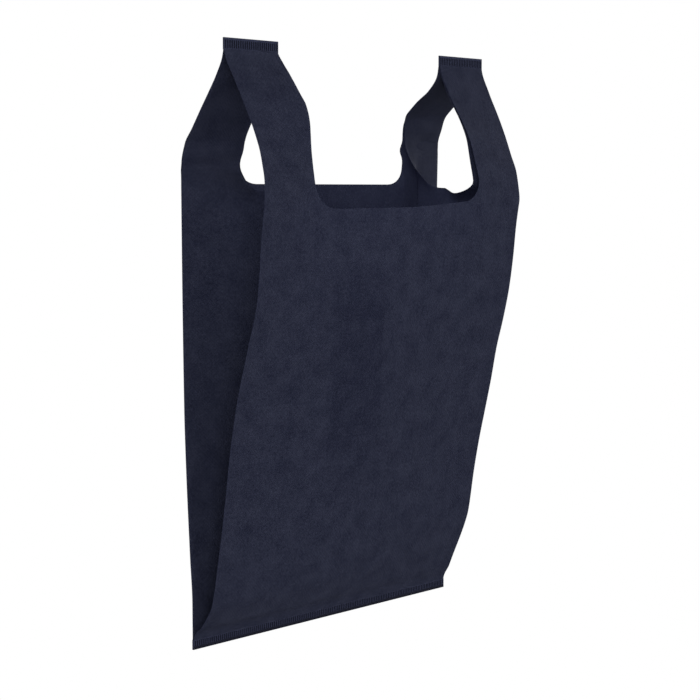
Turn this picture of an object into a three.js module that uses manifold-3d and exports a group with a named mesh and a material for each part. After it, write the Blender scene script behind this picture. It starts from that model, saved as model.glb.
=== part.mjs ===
// A non-woven t-shirt bag: one gusseted tube of spunbonded polypropylene, welded flat across its foot,
// cut out at the top into four straps, and welded again where a front strap meets a back strap.
// Units are millimetres. X runs across the bag, -Y is its front and +Z is up as it hangs open by its
// handles. The origin is the middle of the foot of the bag's own box, straight below the handle welds.
import * as THREE from "three";
import { mergeVertices } from "three/addons/utils/BufferGeometryUtils.js";
import Module from "manifold-3d";

const wasm = await Module();
wasm.setup();

// The flat cut
const panelWidth = 300;
const gussetDepth = 70;
const bagHeight = 500;
const cutDepth = 133;
const strapWidth = 55;
const cutRadius = 20;

// The cloth and its welds
const clothThickness = 0.4;
const layerPitch = 0.6;
const handleWeldHeight = 9;
const footWeldHeight = 8;
const weldMargin = 0.5;
const weldSkin = 0.1;

// How the bag hangs open, measured from the upright plane of the two handle welds
const seamSetback = 41;
const mouthFront = 44;
const mouthBack = 50;
const panelBulge = 5;
const mouthSag = 4.5;
const frontGap = 6;
const backGap = 3;

// How far each strap's cut edge leans forward of its fold at most, and how far down the panel that shows
const frontLeftLean = 12;
const frontRightLean = 4.5;
const backLeftLean = 5;
const backRightLean = 11;
const leanReach = 120;

// Heights above the foot of the cut, over which a gusset's layer swings in behind its strap
const frontSwing = 14;
const backLeftSwing = 20;
const backRightSwing = 50;
const weldLeadIn = 45;

const cutFoot = bagHeight - cutDepth;
const halfWidth = panelWidth / 2;
const layersInWeld = 4;
const outerLayer = ((layersInWeld - 1) / 2) * layerPitch;
const weldThickness = (layersInWeld - 1) * layerPitch + clothThickness + 2 * weldSkin;

// Shares of a height and of a depth that draw the folds, from the foot weld to the mouth and from the
// mouth to the handle weld. The two front corners kink where the cloth leaves the foot weld.
const frontBodyLeft = [[0, 0], [0.03, 0.043], [0.11, 0.234], [0.12, 0.257], [0.23, 0.359],
  [0.362, 0.459], [0.471, 0.531], [0.58, 0.629], [0.692, 0.766], [0.798, 0.897], [0.85, 0.925],
  [0.921, 0.952], [1, 1]];
const frontBodyRight = [[0, 0], [0.02, 0.02], [0.2, 0.318], [0.22, 0.344], [0.328, 0.422],
  [0.405, 0.488], [0.483, 0.567], [0.56, 0.644], [0.637, 0.712], [0.714, 0.801], [0.789, 0.874],
  [0.863, 0.922], [0.935, 0.956], [1, 1]];
const backBody = [[0, 0], [0.1, 0], [0.2, 0.25], [0.39, 0.675], [0.52, 0.86], [0.78, 0.97], [1, 1]];
const frontStrapLeft = [[0, 1], [0.109, 1], [0.215, 0.943], [0.298, 0.879], [0.359, 0.802],
  [0.464, 0.649], [0.645, 0.361], [0.871, 0.022], [0.94, 0], [1, 0]];
const frontStrapRight = [[0, 1], [0.086, 0.963], [0.185, 0.904], [0.292, 0.781], [0.429, 0.63],
  [0.573, 0.451], [0.763, 0.196], [0.931, 0.008], [0.96, 0], [1, 0]];
const backStrapLeft = [[0, 1], [0.122, 0.993], [0.256, 0.908], [0.371, 0.737], [0.518, 0.522], [0.628, 0.357],
  [0.773, 0.149], [0.885, 0.023], [0.94, 0], [1, 0]];
const backStrapRight = [[0, 1], [0.325, 0.974], [0.398, 0.93], [0.473, 0.834], [0.563, 0.663], [0.625, 0.54],
  [0.72, 0.346], [0.83, 0.133], [0.905, 0.032], [0.95, 0], [1, 0]];

// Shares of a strap's length and of its lean, from the mouth to the handle weld
const leanFrontLeft = [[0, -0.3], [0.2, -0.2], [0.3, -0.05], [0.35, 0.106], [0.42, 0.374], [0.5, 0.692],
  [0.56, 0.857], [0.62, 0.937], [0.67, 0.837], [0.77, 0.674], [0.86, 0.475], [0.92, 0.214], [0.97, 0], [1, 0]];
const leanFrontRight = [[0, 0.6], [0.1, 0.6], [0.2, 0.5], [0.3, 0.75], [0.4, 0.9], [0.5, 0.716], [0.56, 0.528],
  [0.62, 0.295], [0.72, 0.1], [0.8, 0], [1, 0]];
const leanBackLeft = [[0, 1], [0.25, 0.96], [0.3, 0.7], [0.36, 0.35], [0.5, 0.3], [0.75, 0.1], [0.9, 0], [1, 0]];
const leanBackRight = [[0, 0.95], [0.07, 0.8], [0.13, 0.68], [0.2, 0.75], [0.27, 0.65], [0.33, 0.5],
  [0.42, 0.25], [0.5, 0.12], [0.6, 0.15], [0.72, 0.35], [0.83, 0.25], [0.94, 0], [1, 0]];
const middleLeanShare = 0.3;

// How finely the cloth is divided
const lengthSteps = 900;
const arcSteps = 4;
const strapColumns = 4;
const middleColumns = 6;
const topRows = 3;
const bodyRowShares = [0.012, 0.05, 0.1, 0.16, 0.22, 0.29, 0.37, 0.45, 0.54, 0.63, 0.72, 0.81, 0.89];
const strapRows = 11;

/** A smooth curve through share points that never overshoots them. */
function shareCurve(points) {
  const slopes = points.slice(1).map(([x, y], k) => (y - points[k][1]) / (x - points[k][0]));
  const tangents = points.map((_, k) => {
    const before = slopes[Math.max(k - 1, 0)];
    const after = slopes[Math.min(k, slopes.length - 1)];
    return before * after <= 0 ? 0 : (2 * before * after) / (before + after);
  });
  return (x) => {
    const last = points.length - 2;
    const found = points.findIndex(([left], k) => k <= last && x < points[k + 1][0]);
    const k = x <= points[0][0] ? 0 : found < 0 ? last : found;
    const span = points[k + 1][0] - points[k][0];
    const t = THREE.MathUtils.clamp((x - points[k][0]) / span, 0, 1);
    const start = (1 + 2 * t) * (1 - t) ** 2 * points[k][1] + t * (1 - t) ** 2 * span * tangents[k];
    const end = t ** 2 * (3 - 2 * t) * points[k + 1][1] + t ** 2 * (t - 1) * span * tangents[k + 1];
    return start + end;
  };
}

/** Depth of a fold at a height along the cloth, from its seam, mouth and weld depths. */
function foldDepth(bodyShares, strapShares, mouthDepth, layerOffset) {
  const body = shareCurve(bodyShares);
  const strap = shareCurve(strapShares);
  return (along) => {
    const inBody = seamSetback + body(along / cutFoot) * (mouthDepth - seamSetback);
    const inStrap = mouthDepth * strap((along - cutFoot) / cutDepth);
    return (along <= cutFoot ? inBody : inStrap) + layerOffset;
  };
}

/** Heights of a fold above the foot, stepped along the cloth so that its length stays true. */
function foldHeights(depth) {
  const step = bagHeight / lengthSteps;
  const heights = [0];
  for (let k = 0; k < lengthSteps; k += 1) {
    const drift = (depth((k + 1) * step) - depth(k * step)) / step;
    heights.push(heights[k] + step * Math.sqrt(Math.max(1 - drift ** 2, 0)));
  }
  return (along) => {
    const place = THREE.MathUtils.clamp(along / step, 0, lengthSteps);
    const k = Math.min(Math.floor(place), lengthSteps - 1);
    return THREE.MathUtils.lerp(heights[k], heights[k + 1], place - k);
  };
}

/** One of the four upright folds of the tube, as a function of the height along the cloth. */
function makeFold(side, depth, topHeight) {
  const height = foldHeights(depth);
  const mouth = height(cutFoot);
  const stretch = topHeight === undefined ? 1 : (topHeight - mouth) / (height(bagHeight) - mouth);
  return (along) => {
    const z = along <= cutFoot ? height(along) : mouth + (height(along) - mouth) * stretch;
    return new THREE.Vector3(side * halfWidth, depth(along), z);
  };
}

const frontLeft = makeFold(-1, foldDepth(frontBodyLeft, frontStrapLeft, -mouthFront, -outerLayer));
const topHeight = frontLeft(bagHeight).z;
const frontRight = makeFold(1, foldDepth(frontBodyRight, frontStrapRight, -mouthFront, -outerLayer), topHeight);
const backLeft = makeFold(-1, foldDepth(backBody, backStrapLeft, mouthBack, outerLayer), topHeight);
const backRight = makeFold(1, foldDepth(backBody, backStrapRight, mouthBack, outerLayer), topHeight);

/** How far a strap's cut edge leans forward of its fold, as a function of the height along the cloth. */
function makeLean(shares, furthest) {
  const share = shareCurve(shares);
  return (along) => {
    const fade = THREE.MathUtils.smoothstep(along, cutFoot - leanReach, cutFoot);
    return furthest * share((along - cutFoot) / cutDepth) * fade;
  };
}

const straps = {
  frontLeft: { side: -1, fold: frontLeft, lean: makeLean(leanFrontLeft, frontLeftLean), swing: frontSwing },
  frontRight: { side: 1, fold: frontRight, lean: makeLean(leanFrontRight, frontRightLean), swing: frontSwing },
  backLeft: { side: -1, fold: backLeft, lean: makeLean(leanBackLeft, backLeftLean), swing: backLeftSwing },
  backRight: { side: 1, fold: backRight, lean: makeLean(leanBackRight, backRightLean), swing: backRightSwing },
};

/** A point of the front or back panel, or of a strap's outer layer, at a distance from a fold. */
function panelPoint(left, right, outward, fromLeft, along) {
  const share = fromLeft / panelWidth;
  const point = left.fold(along).lerp(right.fold(along), share);
  const across = Math.sin(Math.PI * share) ** 2;
  point.y += outward * panelBulge * Math.sin(Math.PI * THREE.MathUtils.clamp(along / cutFoot, 0, 1)) * across;

  const distance = Math.min(fromLeft, panelWidth - fromLeft);
  const inStrap = Math.min(distance / strapWidth, 1);
  const inMiddle = THREE.MathUtils.smoothstep(distance, strapWidth, halfWidth);
  const toRight = THREE.MathUtils.smoothstep(fromLeft, strapWidth, panelWidth - strapWidth);
  const lean = THREE.MathUtils.lerp(left.lean(along), right.lean(along), toRight);
  point.y -= lean * inStrap * THREE.MathUtils.lerp(1, middleLeanShare, inMiddle);
  if (outward < 0) {
    const slack = THREE.MathUtils.smoothstep(distance, strapWidth / 2, strapWidth + cutRadius);
    point.z -= mouthSag * slack * THREE.MathUtils.smoothstep(along, cutFoot - leanReach, cutFoot);
  }
  return point;
}

/** Start and direction of one half of a gusset: it runs from its fold to the gusset's own crease. */
function gussetHalf(strap, opposite, toward, along) {
  const start = strap.fold(along);
  start.y += toward * layerPitch;
  const height = Math.min(along, cutFoot);
  const own = strap.fold(height);
  const other = opposite.fold(height);
  const forward = (other.y - own.y - toward * (layersInWeld - 1) * layerPitch) / 2;
  const rise = (other.z - own.z) / 2;
  const inward = Math.sqrt(Math.max(gussetDepth ** 2 - forward ** 2 - rise ** 2, 0));
  const direction = new THREE.Vector3(-strap.side * inward, forward, rise).normalize();
  if (along > cutFoot) {
    const nearWeld = THREE.MathUtils.smoothstep(along, cutFoot, bagHeight - weldLeadIn);
    const gap = toward > 0 ? frontGap : backGap;
    const opening = toward * gap * (1 - nearWeld) - strap.lean(along);
    const closed = new THREE.Vector3(-strap.side * strapWidth, opening, 0).normalize();
    const swung = Math.min((along - cutFoot) / strap.swing, 1);
    direction.lerp(closed, 1 - (1 - swung) ** 2).normalize();
  }
  return { start, direction };
}

/** Height that the cloth reaches at a distance past the strap's cut edge, along the cut's round corner. */
function cutHeight(past) {
  if (past >= cutRadius) return cutFoot;
  return cutFoot + cutRadius - Math.sqrt(cutRadius ** 2 - (cutRadius - past) ** 2);
}

/** Distances from a fold to the columns of a strap, and on over the round corner as far as a limit. */
function columnDistances(limit) {
  const strap = Array.from({ length: strapColumns }, (_, k) => ((k + 1) / strapColumns) * strapWidth);
  const corner = Array.from({ length: arcSteps }, (_, k) => {
    const turn = ((k + 1) / arcSteps) * (Math.PI / 2);
    return strapWidth + cutRadius * (1 - Math.cos(turn));
  });
  return [...strap, ...corner.filter((distance) => distance < limit - 1)];
}

/** A column of the cloth: where it lies at each height, how high it reaches, and whether it is a strap's. */
function column(place, past, strap) {
  return { place, top: strap ? cutFoot + cutRadius : cutHeight(past), strap };
}

/** Columns of a panel from its left fold to its right fold. */
function panelColumns(left, right, outward) {
  const near = [0, ...columnDistances(halfWidth)];
  const clear = panelWidth - 2 * near[near.length - 1];
  const middle = Array.from({ length: middleColumns - 1 }, (_, k) => near[near.length - 1] + (clear * (k + 1)) / middleColumns);
  const far = near.map((distance) => panelWidth - distance).reverse();
  return [...near, ...middle, ...far].map((fromLeft) => {
    const past = Math.min(fromLeft, panelWidth - fromLeft) - strapWidth;
    const place = (along) => panelPoint(left, right, outward, fromLeft, along);
    return column(place, Math.max(past, 0), past <= 1e-9);
  });
}

/** Columns of half a gusset, from its fold to its crease. */
function gussetColumns(strap, opposite, toward) {
  return [0, ...columnDistances(gussetDepth), gussetDepth].map((distance) => {
    const place = (along) => {
      const { start, direction } = gussetHalf(strap, opposite, toward, along);
      return start.addScaledVector(direction, distance);
    };
    const past = distance - strapWidth;
    return column(place, Math.max(past, 0), past <= 1e-9);
  });
}

/** The rounded tip of a fold, halfway between two layers. */
function tipColumn(from, to, outward) {
  const place = (along) => {
    const middle = from.place(along).add(to.place(along)).multiplyScalar(0.5);
    middle.x += (outward * layerPitch) / 2;
    return middle;
  };
  return { place, top: from.top, strap: from.strap && to.strap };
}

/** Columns of a whole gusset, from the fold that comes first round the tube to the one that comes next. */
function wholeGusset(first, next, toward) {
  const entering = gussetColumns(first, next, toward);
  const leaving = gussetColumns(next, first, -toward).reverse();
  const crease = tipColumn(entering[entering.length - 1], leaving[0], -first.side);
  return [...entering, crease, ...leaving];
}

const frontPanel = panelColumns(straps.frontLeft, straps.frontRight, -1);
const rightGusset = wholeGusset(straps.frontRight, straps.backRight, 1);
const backPanel = panelColumns(straps.backLeft, straps.backRight, 1).reverse();
const leftGusset = wholeGusset(straps.backLeft, straps.frontLeft, -1);

const stretches = [frontPanel, rightGusset, backPanel, leftGusset];
const columns = stretches.flatMap((stretch, k) => {
  const next = stretches[(k + 1) % stretches.length];
  const last = stretch[stretch.length - 1];
  return [...stretch, tipColumn(last, next[0], Math.sign(last.place(0).x))];
});

/** Heights along the cloth of every row of a column, as far as that column reaches. */
function rowHeights({ top, strap }) {
  const lastShared = bodyRowShares[bodyRowShares.length - 1] * cutFoot;
  const body = bodyRowShares.map((share) => share * cutFoot);
  const upper = Array.from({ length: topRows }, (_, k) => lastShared + ((top - lastShared) * (k + 1)) / topRows);
  if (!strap) return [...body, ...upper];
  const weldEnd = bagHeight - handleWeldHeight / 2;
  const rows = Array.from({ length: strapRows }, (_, k) => top + ((weldEnd - top) * (k + 1)) / strapRows);
  return [...body, ...upper, ...rows];
}

const grid = columns.map((each) => rowHeights(each).map(each.place));

/** Corner indices of every quad of the cloth, seen from outside. */
function clothQuads() {
  const quads = [];
  grid.forEach((points, i) => {
    const next = (i + 1) % grid.length;
    const rows = Math.min(points.length, grid[next].length) - 1;
    for (let j = 0; j < rows; j += 1) {
      quads.push([[i, j], [next, j], [next, j + 1], [i, j + 1]]);
    }
  });
  return quads;
}

/** The cloth as a closed shell: both faces at half a thickness from the middle, and its cut edges. */
function clothSolid() {
  const quads = clothQuads();
  const first = [];
  let count = 0;
  grid.forEach((points) => {
    first.push(count);
    count += points.length;
  });
  const index = ([i, j]) => first[i] + j;
  const middle = grid.flat();
  const normals = middle.map(() => new THREE.Vector3());
  const faces = quads.flatMap((quad) => {
    const [a, b, c, d] = quad.map(index);
    return [[a, b, c], [a, c, d]];
  });
  faces.forEach(([a, b, c]) => {
    const along = middle[b].clone().sub(middle[a]);
    const normal = along.cross(middle[c].clone().sub(middle[a]));
    [a, b, c].forEach((k) => normals[k].add(normal));
  });
  normals.forEach((normal) => normal.setLength(clothThickness / 2));

  const edges = new Map();
  faces.forEach(([a, b, c]) => {
    [[a, b], [b, c], [c, a]].forEach(([from, to]) => {
      if (!edges.delete(`${to} ${from}`)) edges.set(`${from} ${to}`, [from, to]);
    });
  });

  const outer = middle.flatMap((point, k) => point.clone().add(normals[k]).toArray());
  const inner = middle.flatMap((point, k) => point.clone().sub(normals[k]).toArray());
  const triangles = faces.flatMap(([a, b, c]) => [a, b, c, count + c, count + b, count + a]);
  edges.forEach(([from, to]) => {
    triangles.push(to, from, count + from, to, count + from, count + to);
  });
  return new wasm.Manifold(new wasm.Mesh({
    numProp: 3,
    vertProperties: new Float32Array([...outer, ...inner]),
    triVerts: new Uint32Array(triangles),
  }));
}

/** A weld as a flat bar, which the layers of cloth run into. */
function weldBar(width, height, centre) {
  const box = new THREE.BoxGeometry(width, weldThickness, height);
  box.translate(centre.x, centre.y, centre.z);
  box.deleteAttribute("normal");
  box.deleteAttribute("uv");
  const merged = mergeVertices(box);
  return new wasm.Manifold(new wasm.Mesh({
    numProp: 3,
    vertProperties: new Float32Array(merged.attributes.position.array),
    triVerts: new Uint32Array(merged.index.array),
  }));
}

/** The foot weld runs the whole width of the bag, behind the plane of the handles. */
function footWeld() {
  const width = panelWidth + 2 * weldMargin;
  return weldBar(width, footWeldHeight, new THREE.Vector3(0, seamSetback, footWeldHeight / 2));
}

/** Each handle weld joins a front strap's two layers to a back strap's two. */
function handleWeld(side) {
  const width = strapWidth + 2 * weldMargin;
  const across = side * (halfWidth - strapWidth / 2);
  return weldBar(width, handleWeldHeight, new THREE.Vector3(across, 0, topHeight - handleWeldHeight / 2));
}

/** The finished solid as a three.js geometry, with the origin at the foot of its box. */
function bagGeometry() {
  const solid = clothSolid().add(footWeld()).add(handleWeld(-1)).add(handleWeld(1));
  const mesh = solid.getMesh();
  const geometry = new THREE.BufferGeometry();
  geometry.setAttribute("position", new THREE.Float32BufferAttribute(mesh.vertProperties, 3));
  geometry.setIndex(Array.from(mesh.triVerts));
  geometry.computeBoundingBox();
  const { min, max } = geometry.boundingBox;
  geometry.translate(-(min.x + max.x) / 2, -(min.y + max.y) / 2, -min.z);
  geometry.computeVertexNormals();
  return geometry;
}

const cloth = new THREE.MeshStandardMaterial({ color: "#292b3a", roughness: 0.85, metalness: 0 });
const bag = new THREE.Mesh(bagGeometry(), cloth);
bag.name = "bag";

const group = new THREE.Group();
group.add(bag);

export default group;
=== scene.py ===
"""A non-woven t-shirt bag, hanging open by its two handles.

The bag is one gusseted tube of spunbonded polypropylene. It is welded flat across its foot, cut out at
the top into four straps, and welded again where a front strap meets a back strap. This script drapes
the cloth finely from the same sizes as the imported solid, which it replaces, and dresses it.

Sizes are in millimetres and become metres when a mesh is made. X runs across the bag, -Y is its front
and +Z is up.
"""

from __future__ import annotations

import logging
import math
from dataclasses import dataclass, field
from enum import Enum
from typing import Any, Callable

import bpy
import numpy as np
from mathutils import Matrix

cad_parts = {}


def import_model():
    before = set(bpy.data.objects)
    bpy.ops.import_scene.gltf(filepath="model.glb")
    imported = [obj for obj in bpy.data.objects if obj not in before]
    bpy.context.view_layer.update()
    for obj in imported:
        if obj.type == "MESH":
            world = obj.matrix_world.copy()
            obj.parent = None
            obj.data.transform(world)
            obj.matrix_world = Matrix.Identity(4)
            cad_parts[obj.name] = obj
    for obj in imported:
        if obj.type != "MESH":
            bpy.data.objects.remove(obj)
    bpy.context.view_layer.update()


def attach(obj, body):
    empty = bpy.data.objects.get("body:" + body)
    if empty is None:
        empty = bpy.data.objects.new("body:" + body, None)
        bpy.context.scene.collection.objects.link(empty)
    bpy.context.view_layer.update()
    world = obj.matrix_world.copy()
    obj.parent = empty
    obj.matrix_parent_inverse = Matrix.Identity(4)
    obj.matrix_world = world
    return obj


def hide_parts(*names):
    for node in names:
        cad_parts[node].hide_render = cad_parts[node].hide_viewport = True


LOG = logging.getLogger("bag")
METRES_PER_MM = 0.001
MM_PER_METRE = 1000
TINY = 1e-9
FLAT_MAP = "flat_cut"

SharePoints = tuple[tuple[float, float], ...]
Place = Callable[[np.ndarray], np.ndarray]


class Side(Enum):
    """The two sides of the bag, as signs of X."""

    LEFT = -1
    RIGHT = 1


class Facing(Enum):
    """Which way a panel, or a half of a gusset, looks or runs, as signs of Y."""

    FRONT = -1
    BACK = 1


def linear_colour(code: str) -> tuple[float, float, float, float]:
    """Turns an sRGB hex colour into linear light.

    Args:
        code: A colour such as "#292b3a".

    Returns:
        Red, green, blue and an alpha of one.
    """
    values = [int(code[k:k + 2], 16) / 255 for k in (1, 3, 5)]
    red, green, blue = [v / 12.92 if v <= 0.04045 else ((v + 0.055) / 1.055) ** 2.4 for v in values]
    return (red, green, blue, 1.0)


def add_node(
    tree: bpy.types.NodeTree,
    kind: str,
    settings: dict[str, Any] | None = None,
    inputs: dict[str | int, Any] | None = None,
) -> bpy.types.Node:
    """Adds a node with its settings, and sets or links its inputs.

    Args:
        tree: The node tree that takes the node.
        kind: The node's type name.
        settings: Properties of the node and their values.
        inputs: Inputs by name or number, each with a value or the output socket to link to it.

    Returns:
        The new node.
    """
    node = tree.nodes.new(kind)
    for name, value in (settings or {}).items():
        setattr(node, name, value)
    for key, value in (inputs or {}).items():
        if isinstance(value, bpy.types.NodeSocket):
            tree.links.new(value, node.inputs[key])
        else:
            node.inputs[key].default_value = value
    return node


def new_material(name: str) -> tuple[bpy.types.Material, bpy.types.NodeTree]:
    """Makes an empty node material.

    Args:
        name: The material's name.

    Returns:
        The material and its cleared node tree.
    """
    material = bpy.data.materials.new(name)
    material.use_nodes = True
    material.node_tree.nodes.clear()
    return material, material.node_tree


def per_metre(size_mm: float) -> float:
    """Turns a pattern's size into its count in a metre, which a texture takes as its scale."""
    return MM_PER_METRE / size_mm


def smoothstep(value: np.ndarray | float, start: float, end: float) -> np.ndarray:
    """Rises smoothly from 0 at start to 1 at end."""
    share = np.clip((np.asarray(value, dtype=float) - start) / (end - start), 0.0, 1.0)
    return share * share * (3.0 - 2.0 * share)


def unit(vectors: np.ndarray) -> np.ndarray:
    """Scales each row of an array to a length of one."""
    return vectors / np.linalg.norm(vectors, axis=1, keepdims=True)


@dataclass(frozen=True)
class ShareCurve:
    """A smooth curve through share points that never overshoots them."""

    points: SharePoints

    def at(self, values: np.ndarray | float) -> np.ndarray:
        """Reads the curve.

        Args:
            values: Places along the curve, which are held within its ends.

        Returns:
            The curve's height at each place.
        """
        xs, ys = np.array(self.points, dtype=float).T
        slopes = np.diff(ys) / np.diff(xs)
        before = np.concatenate([slopes[:1], slopes])
        after = np.concatenate([slopes, slopes[-1:]])
        product = before * after
        total = np.where(product > 0, before + after, 1.0)
        tangents = np.where(product > 0, 2.0 * product / total, 0.0)
        place = np.clip(np.asarray(values, dtype=float), xs[0], xs[-1])
        k = np.clip(np.searchsorted(xs, place, side="right") - 1, 0, len(xs) - 2)
        span = xs[k + 1] - xs[k]
        t = (place - xs[k]) / span
        start = (1 + 2 * t) * (1 - t) ** 2 * ys[k] + t * (1 - t) ** 2 * span * tangents[k]
        end = t ** 2 * (3 - 2 * t) * ys[k + 1] + t ** 2 * (t - 1) * span * tangents[k + 1]
        return start + end


@dataclass(frozen=True)
class FlatCut:
    """The bag's flat cut and its cloth, in millimetres."""

    panel_width: float = 300.0
    gusset_depth: float = 70.0
    height: float = 500.0
    cut_depth: float = 133.0
    strap_width: float = 55.0
    cut_radius: float = 20.0
    gusset_cut_radius: float = 10.0
    cloth_thickness: float = 0.3
    layer_pitch: float = 0.36
    layers_in_weld: int = 4

    @property
    def cut_foot(self) -> float:
        """Height of the foot of the cut-out."""
        return self.height - self.cut_depth

    @property
    def half_width(self) -> float:
        """Half the width of a panel."""
        return self.panel_width / 2

    @property
    def outer_layer(self) -> float:
        """Distance of an outer layer from the middle of a weld."""
        return (self.layers_in_weld - 1) / 2 * self.layer_pitch

    @property
    def round_the_tube(self) -> float:
        """Width of the cloth that the tube is made from."""
        return 2 * self.panel_width + 4 * self.gusset_depth

    def cut_height(self, past: float, radius: float) -> float:
        """Gives the height of the cut-out's edge.

        Args:
            past: Distance past the strap's cut edge, toward the middle of the cut-out.
            radius: Radius of the cut-out's corner.

        Returns:
            The height along the cloth, in millimetres.
        """
        if past >= radius:
            return self.cut_foot
        return self.cut_foot + radius - math.sqrt(radius ** 2 - (radius - past) ** 2)


@dataclass(frozen=True)
class Hang:
    """How the bag hangs open, measured from the upright plane of the two handle welds.

    The panels bulge and the front one sags at the mouth. Where a gusset is slack, its crease is let
    out and lies further back. Each half of a gusset keeps clear of its panel, and its inner corner
    drops a little.
    """

    weld_plane_y: float = -3.597
    top_height: float = 475.8
    seam_setback: float = 41.0
    mouth_front: float = 44.0
    mouth_back: float = 50.0
    panel_bulge: float = 5.0
    mouth_sag: float = 5.4
    sag_from_left: tuple[float, float] = (27.0, 85.0)
    sag_from_right: tuple[float, float] = (30.0, 150.0)
    front_gap: float = 6.0
    back_gap: float = 3.0
    lean_reach: float = 120.0
    weld_lead_in: float = 45.0
    foot_weld: float = 8.0
    foot_lead_in: float = 24.0
    middle_lean_share: float = 0.3
    crease_rise: float = 3.0
    slack_reach: float = 90.0
    slack_crease_out: float = 17.2
    slack_crease_back: float = 8.0
    clear_reach: float = 10.0
    clear_softness: float = 2.0
    corner_drop: float = 5.0
    drop_from_fold: tuple[float, float] = (20.0, 52.0)
    drop_past_strap: float = 58.0
    drop_up_strap: tuple[float, float] = (10.0, 60.0)


class Layer(Enum):
    """The two layers of a strap."""

    PANEL = "outer"
    GUSSET = "inner"


@dataclass(frozen=True)
class SoftFold:
    """A shallow ridge or hollow in one layer of a strap.

    Its place is a rise above the foot of the cut-out and a distance from the fold, its push is toward
    the back, and its lean is how much higher it lies for each millimetre away from the fold.
    """

    layer: Layer
    rise: float
    distance: float
    rise_reach: float
    distance_reach: float
    push: float
    lean: float = 0.0

    def push_at(self, rise: np.ndarray, distance: float) -> np.ndarray:
        """Gives the push toward the back.

        Args:
            rise: Heights above the foot of the cut-out.
            distance: Distance from the fold.

        Returns:
            The push at each height, in millimetres.
        """
        off = (rise - self.rise - self.lean * (distance - self.distance)) / self.rise_reach
        beside = (distance - self.distance) / self.distance_reach
        return self.push * np.exp(-off ** 2) * math.exp(-beside ** 2)


@dataclass(frozen=True)
class StrapDrape:
    """Shares that draw one fold of the tube and the lean of the strap beside it.

    The body runs from the foot weld to the mouth, and the strap and its lean from the mouth to the
    handle weld. Between the heights of its swing, counted from the foot of the cut-out, the strap's
    inner layer turns from the open gusset to lie on the outer layer. The slack is how much of the
    gusset's let-out this fold takes, bend_round is how widely that bend is rounded, and drop_share is
    how much the inner corner drops.
    """

    side: Side
    facing: Facing
    body: SharePoints
    strap: SharePoints
    lean: SharePoints
    furthest_lean: float
    swing_foot: float
    swing_top: float
    slack: float = 0.0
    bend_round: float = 30.0
    drop_share: float = 0.0
    soft_folds: tuple[SoftFold, ...] = ()

    def push_at(self, layer: Layer, rise: np.ndarray, distance: float) -> np.ndarray:
        """Adds up the pushes of the soft folds in one layer.

        Args:
            layer: The strap's layer.
            rise: Heights above the foot of the cut-out.
            distance: Distance from the fold.

        Returns:
            The push toward the back at each height, in millimetres.
        """
        total = np.zeros_like(rise)
        for soft_fold in self.soft_folds:
            if soft_fold.layer is layer:
                total += soft_fold.push_at(rise, distance)
        return total


FRONT_LEFT = StrapDrape(
    side=Side.LEFT,
    facing=Facing.FRONT,
    body=(
        (0, 0), (0.03, 0.043), (0.11, 0.234), (0.12, 0.257), (0.23, 0.359), (0.362, 0.459),
        (0.471, 0.531), (0.58, 0.629), (0.692, 0.766), (0.798, 0.897), (0.85, 0.925),
        (0.921, 0.952), (1, 1),
    ),
    strap=(
        (0, 1), (0.109, 1), (0.215, 0.943), (0.298, 0.879), (0.359, 0.81), (0.464, 0.675),
        (0.645, 0.41), (0.8, 0.17), (0.871, 0.06), (0.94, 0), (1, 0),
    ),
    lean=(
        (0, -0.3), (0.2, -0.2), (0.3, -0.05), (0.35, 0.106), (0.42, 0.374), (0.5, 0.692),
        (0.56, 0.857), (0.62, 0.937), (0.67, 0.837), (0.77, 0.674), (0.86, 0.475),
        (0.92, 0.214), (0.97, 0), (1, 0),
    ),
    furthest_lean=12.0,
    swing_foot=-12.0,
    swing_top=24.0,
)
FRONT_RIGHT = StrapDrape(
    side=Side.RIGHT,
    facing=Facing.FRONT,
    body=(
        (0, 0), (0.02, 0.02), (0.2, 0.318), (0.22, 0.344), (0.328, 0.422), (0.405, 0.488),
        (0.483, 0.567), (0.56, 0.644), (0.637, 0.712), (0.714, 0.801), (0.789, 0.874),
        (0.863, 0.922), (0.935, 0.956), (1, 1),
    ),
    strap=(
        (0, 1), (0.086, 0.963), (0.185, 0.904), (0.292, 0.781), (0.429, 0.63), (0.573, 0.451),
        (0.763, 0.196), (0.931, 0.008), (0.96, 0), (1, 0),
    ),
    lean=(
        (0, 0.6), (0.1, 0.6), (0.2, 0.5), (0.3, 0.75), (0.4, 0.9), (0.5, 0.716), (0.56, 0.528),
        (0.62, 0.295), (0.72, 0.1), (0.8, 0), (1, 0),
    ),
    furthest_lean=4.5,
    swing_foot=-10.0,
    swing_top=19.0,
    slack=1.0,
    drop_share=0.65,
)
BACK_BODY: SharePoints = (
    (0, 0), (0.1, 0), (0.2, 0.25), (0.39, 0.675), (0.52, 0.86), (0.78, 0.97), (1, 1),
)
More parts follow.
